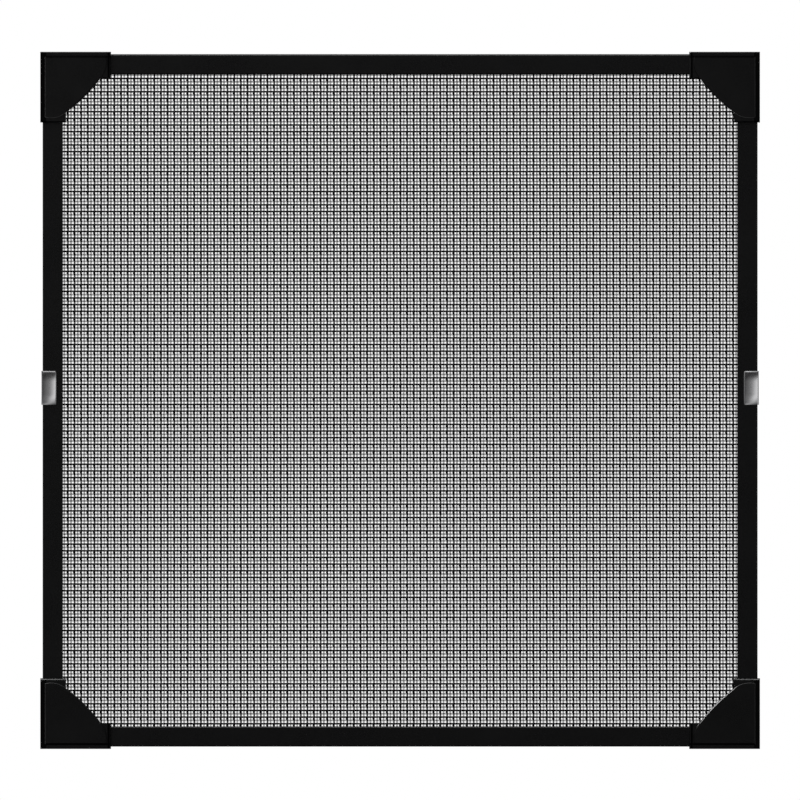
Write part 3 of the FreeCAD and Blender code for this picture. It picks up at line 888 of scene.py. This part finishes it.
class SCREEN_OT_weave(bpy.types.Operator):
    """Weaves the mesh: heavy strands with a pair of fine ones between them, both ways"""

    bl_idname = "window_screen.weave"
    bl_label = "Woven mesh"

    def execute(self, context):
        sizes = context.scene.screen_weave
        tree = strand_tree()
        span_x = PANEL_HIGH.x - PANEL_LOW.x - 2 * sizes.groove
        span_z = PANEL_HIGH.z - PANEL_LOW.z - 2 * sizes.groove
        upright = banded_coat("upright_strand", (1.0, 1.0, 0.04), sizes)
        level = strand_coat("level_strand", (0.04, 1.0, 1.0))
        pieces = []
        pair = sizes.pair_spacing / 2
        for name, half, aside, width in (
                ("heavy", 0.0, 0.0, sizes.heavy_upright),
                ("fine_left", 0.5, -pair - sizes.pair_shift, sizes.fine),
                ("fine_right", 0.5, pair - sizes.pair_shift, sizes.fine)):
            pieces.append(self.weave_row(
                sizes, tree, f"mesh_upright_{name}", upright, width, half, aside, RIGHT,
                span_x, sizes.shift_across, span_z, sizes.shift_up))
        for name, half, aside, width in (
                ("heavy", 0.5, 0.0, sizes.heavy_level),
                ("fine_lower", 0.0, -pair, sizes.fine), ("fine_upper", 0.0, pair, sizes.fine)):
            pieces.append(self.weave_row(
                sizes, tree, f"mesh_level_{name}", level, width, half, aside, UP,
                span_z, sizes.shift_up, span_x, sizes.shift_across))
        for piece in pieces:
            settle(piece, "mesh", "mesh_panel")
        return {"FINISHED"}

    def weave_row(self, sizes, tree, name, finish, width, half, aside, step, breadth, shift, length,
                  shift_along):
        """One row of like strands. step is the way from one strand to the next, half is 0.5 where
        the row lies between whole pitches, and aside moves it from there."""
        heavy = aside == 0.0
        upright = step == RIGHT
        bulges = heavy and upright
        corners = 4 if heavy and not upright else 3
        # The width and the thickness of a strand with so many corners, as shares of its circle's
        width_share = 1.0 if corners == 4 else math.cos(math.radians(30))
        thickness_share = 1.0 if corners == 4 else 0.75
        thickness = sizes.thickness if heavy else FINE_SHARE * sizes.thickness
        room = breadth / 2 - width / 2 - abs(aside)
        first = math.ceil((-room - shift) / sizes.pitch - half)
        last = math.floor((room - shift) / sizes.pitch - half)
        low_end = -length / 2 - sizes.hem_wall / 2 - shift_along
        high_end = length / 2 + sizes.hem_wall / 2 - shift_along
        # A bulging strand has rings at 0, 0.25 and 0.5 of each pitch, any other at 0 and 0.5
        rings = 3 if bulges else 2
        ring_step = 0.25 if bulges else 0.5
        heights = {ring: (ring // rings + ring % rings * ring_step) * sizes.pitch
                   for ring in range(-MOST_CELLS * rings, MOST_CELLS * rings)}
        first_ring = max(ring for ring, height in heights.items() if height < low_end)
        last_ring = min(ring for ring, height in heights.items() if height > high_end)
        middle = Vector((PANEL_MIDDLE.x, WEAVE_PLANE, PANEL_MIDDLE.z))
        along = UP if upright else RIGHT
        start = middle + along * shift_along + step * (shift + aside + (first + half) * sizes.pitch)
        return grown(tree, name, {
            "Corners": corners,
            "Width": width / width_share,
            "Bulge": sizes.bulge / width_share,
            "Bulge Shift": sizes.bulge_shift,
            "Thickness": thickness / thickness_share,
            "Pitch": sizes.pitch,
            "Rings": rings,
            "Ring Step": ring_step,
            "First Ring": first_ring,
            "Last Ring": last_ring,
            "Low End": low_end,
            "High End": high_end,
            "Weave Depth": sizes.weave_depth if heavy else -sizes.weave_depth,
            "Count": last - first + 1,
            "First Strand": start,
            "Step": step * sizes.pitch,
            "Turn": Vector((0.0, 0.0, 0.0)) if upright else Vector((0.0, math.radians(90), 0.0)),
            "Sway": step * (sizes.upright_sway if upright else sizes.level_sway),
            "Seed": sizes.seed,
            "Finish": finish,
        })


class SCREEN_OT_hem(bpy.types.Operator):
    """Folds the mesh's hem into the groove in the rails' backs"""

    bl_idname = "window_screen.hem"
    bl_label = "Hem"

    def execute(self, context):
        sizes = context.scene.screen_weave
        wall, groove = sizes.hem_wall, sizes.groove
        low, high = PANEL_LOW.y, WEAVE_PLANE + wall / 2
        section = [
            (0.0, low), (0.0, high), (-wall, high), (-wall, low + wall), (wall - groove, low + wall),
            (wall - groove, high), (-groove, high), (-groove, low),
        ]
        stations = 90
        ripple_height, quick_turn, slow_turn = 0.12 * MM, 1.7, 0.6
        points = []
        corners = [(-1, -1), (1, -1), (1, 1), (-1, 1)]
        half_x, half_z = PANEL_HIGH.x, (PANEL_HIGH.z - PANEL_LOW.z) / 2
        for side, start in enumerate(corners):
            end = corners[(side + 1) % 4]
            for station in range(stations):
                share = station / stations
                sign_x = start[0] + (end[0] - start[0]) * share
                sign_z = start[1] + (end[1] - start[1]) * share
                ripple = (ripple_height * math.sin(station * quick_turn + side)
                          * math.sin(station * slow_turn))
                for grow, depth in section:
                    lip = ripple if depth == high else 0.0
                    points.append((
                        sign_x * (half_x + grow), depth + lip,
                        PANEL_MIDDLE.z + sign_z * (half_z + grow)))
        around, count = len(section), 4 * stations
        faces = []
        for ring in range(count):
            for corner in range(around):
                here, there = ring * around, (ring + 1) % count * around
                after = (corner + 1) % around
                faces.append((here + corner, there + corner, there + after, here + after))
        hem = new_piece("mesh_hem", close_mesh("mesh_hem", points, faces, sharp=40))
        hem.data.materials.append(woven_hem())
        settle(hem, "mesh", "mesh_panel")
        return {"FINISHED"}


class SCREEN_OT_cords(bpy.types.Operator):
    """Lays the ribbed cord in the groove on each side"""

    bl_idname = "window_screen.cords"
    bl_label = "Spline cords"

    def execute(self, context):
        sizes = context.scene.screen_cord
        tree = cord_tree()
        level_rubber = cord_rubber("level_cord_rubber", (0.05, 1.0, 1.0))
        upright_rubber = cord_rubber("upright_cord_rubber", (1.0, 1.0, 0.05))
        for number, side in enumerate(SIDES):
            level = side in ("bottom", "top")
            low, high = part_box(side + "_spline")
            middle = (low + high) / 2
            start, end = middle.copy(), middle.copy()
            if level:
                start.x, end.x = low.x, high.x
            else:
                start.z, end.z = low.z, high.z
            cord = grown(tree, side + "_spline_cord", {
                "Start": start,
                "End": end,
                "Rings": int((end - start).length / sizes.ring_spacing),
                "Ribs": sizes.ribs,
                "Radius": (high.y - low.y) / 2,
                "Rib Depth": sizes.rib_depth,
                "Twist": sizes.twist,
                "Seed": sizes.seed + number,
                "Finish": level_rubber if level else upright_rubber,
            })
            settle(cord, "spline_cord", side + "_spline")
        return {"FINISHED"}


class SCREEN_OT_clips(bpy.types.Operator):
    """Bends the two spring clips round the side rails"""

    bl_idname = "window_screen.clips"
    bl_label = "Spring clips"

    def execute(self, context):
        sizes = context.scene.screen_clip
        steel = spring_steel()
        for side, sign in (("left", -1), ("right", 1)):
            name = side + "_clip"
            mesh = self.bend_sheet(sizes, name, sign)
            mesh.materials.append(steel)
            settle(new_piece(name + "_sheet", mesh), "clip_steel", name)
        return {"FINISHED"}

    def profile(self, sizes):
        """The bent sheet from the front leaf's tip to the back leaf's: for each step the (inset,
        depth) of its outer and its inner face, the distance from the front leaf's tip, and how
        much of the front leaf's curve it takes."""
        depth = RAIL_HIGH.y - RAIL_LOW.y
        half = sizes.leaf / 2
        inner = (half * half + sizes.crown * sizes.crown) / (2 * sizes.crown)
        outer = inner + sizes.sheet
        centre = Vector((half, inner - sizes.crown))
        turn = sizes.bend + sizes.sheet
        drop = math.sqrt((outer - turn) ** 2 - (centre.x - sizes.bend) ** 2)
        front_bend = Vector((sizes.bend, centre.y - drop))
        tip_angle = math.asin(half / inner)
        bend_angle = math.asin((centre.x - sizes.bend) / (outer - turn))
        pairs = []
        leaf_steps, turn_steps = 28, 6
        for step in range(leaf_steps + 1):
            angle = tip_angle - (tip_angle + bend_angle) * step / leaf_steps
            way = Vector((math.sin(angle), -math.cos(angle)))
            pairs.append((
                centre + way * outer, centre + way * inner, outer * (tip_angle - angle), 1.0))
        length = outer * (tip_angle + bend_angle)
        for step in range(1, turn_steps + 1):
            angle = bend_angle + (math.pi / 2 - bend_angle) * step / turn_steps
            way = Vector((-math.sin(angle), -math.cos(angle)))
            pairs.append((
                front_bend + way * turn, front_bend + way * sizes.bend, length,
                1 - step / turn_steps))
        back_bend = Vector((sizes.bend, depth - sizes.bend))
        for step in range(turn_steps + 1):
            angle = math.pi / 2 * step / turn_steps
            way = Vector((-math.cos(angle), math.sin(angle)))
            pairs.append((back_bend + way * turn, back_bend + way * sizes.bend, length, 0.0))
        pairs.append((Vector((sizes.back_leaf, depth + sizes.sheet)),
                      Vector((sizes.back_leaf, depth)), length, 0.0))
        return pairs

    def bend_sheet(self, sizes, name, sign):
        """One clip's closed sheet: its profile, repeated at stations from the bottom to the top."""
        low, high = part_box(name)
        pairs = self.profile(sizes)
        half = (high.z - sizes.top_gap - low.z) / 2
        middle = low.z + half
        rim = sizes.rim_width
        crease = 0.1 * MM
        end_steps = 6
        near = [0.0, rim - crease, rim + crease]
        near += [rim + (sizes.end_reach - rim) * step / end_steps
                 for step in range(1, end_steps + 1)]
        stations = [-half + gap for gap in near] + [0.0] + [half - gap for gap in reversed(near)]
        points = []
        for station in stations:
            gap = half - abs(station)
            for outside, inside, tip, front in pairs:
                bevel = max(0.0, 1 - min(gap, tip) / rim)
                curve = max(0.0, 1 - gap / sizes.end_reach) ** 2
                drop = front * (sizes.rim_drop * bevel + sizes.end_drop * curve)
                face = outside + (inside - outside) * (drop / sizes.sheet)
                for spot in (face, inside):
                    points.append((
                        sign * (RAIL_REACH - spot.x), RAIL_LOW.y + spot.y, middle + station))
        across = 2 * len(pairs)
        faces = []
        for row in range(len(stations) - 1):
            here, there = row * across, (row + 1) * across
            for pair in range(len(pairs) - 1):
                for layer in (0, 1):
                    point = 2 * pair + layer
                    faces.append((
                        here + point, here + point + 2, there + point + 2, there + point))
            for end in (0, across - 2):
                faces.append((here + end, here + end + 1, there + end + 1, there + end))
        for row in (0, len(stations) - 1):
            here = row * across
            for pair in range(len(pairs) - 1):
                point = here + 2 * pair
                faces.append((point, point + 1, point + 3, point + 2))
        return close_mesh(name + "_sheet", points, faces, sharp=35)


STEPS = (SCREEN_OT_stage, SCREEN_OT_rails, SCREEN_OT_corners, SCREEN_OT_weave, SCREEN_OT_hem,
         SCREEN_OT_cords, SCREEN_OT_clips)


class SCREEN_PT_panel(bpy.types.Panel):
    """The screen's pieces, in the order in which they are made"""

    bl_idname = "SCREEN_PT_panel"
    bl_label = "Window Screen"
    bl_space_type = "VIEW_3D"
    bl_region_type = "UI"
    bl_category = "Window Screen"

    def draw(self, context):
        for step in STEPS:
            self.layout.operator(step.bl_idname)


GROUPS = {
    "screen_weave": WeaveSizes,
    "screen_bracket": BracketSizes,
    "screen_cord": CordSizes,
    "screen_clip": ClipSizes,
    "screen_finish": FinishColours,
    "screen_stage": StageSizes,
}


def register():
    for name, group in GROUPS.items():
        bpy.utils.register_class(group)
        setattr(bpy.types.Scene, name, PointerProperty(type=group))
    for made in (*STEPS, SCREEN_PT_panel):
        bpy.utils.register_class(made)


def unregister():
    for made in (SCREEN_PT_panel, *reversed(STEPS)):
        bpy.utils.unregister_class(made)
    for name, group in GROUPS.items():
        delattr(bpy.types.Scene, name)
        bpy.utils.unregister_class(group)


def main():
    register()
    bpy.ops.window_screen.stage()
    bpy.ops.window_screen.rails()
    bpy.ops.window_screen.corners()
    bpy.ops.window_screen.weave()
    bpy.ops.window_screen.hem()
    bpy.ops.window_screen.cords()
    bpy.ops.window_screen.clips()


if __name__ == "__main__":
    main()
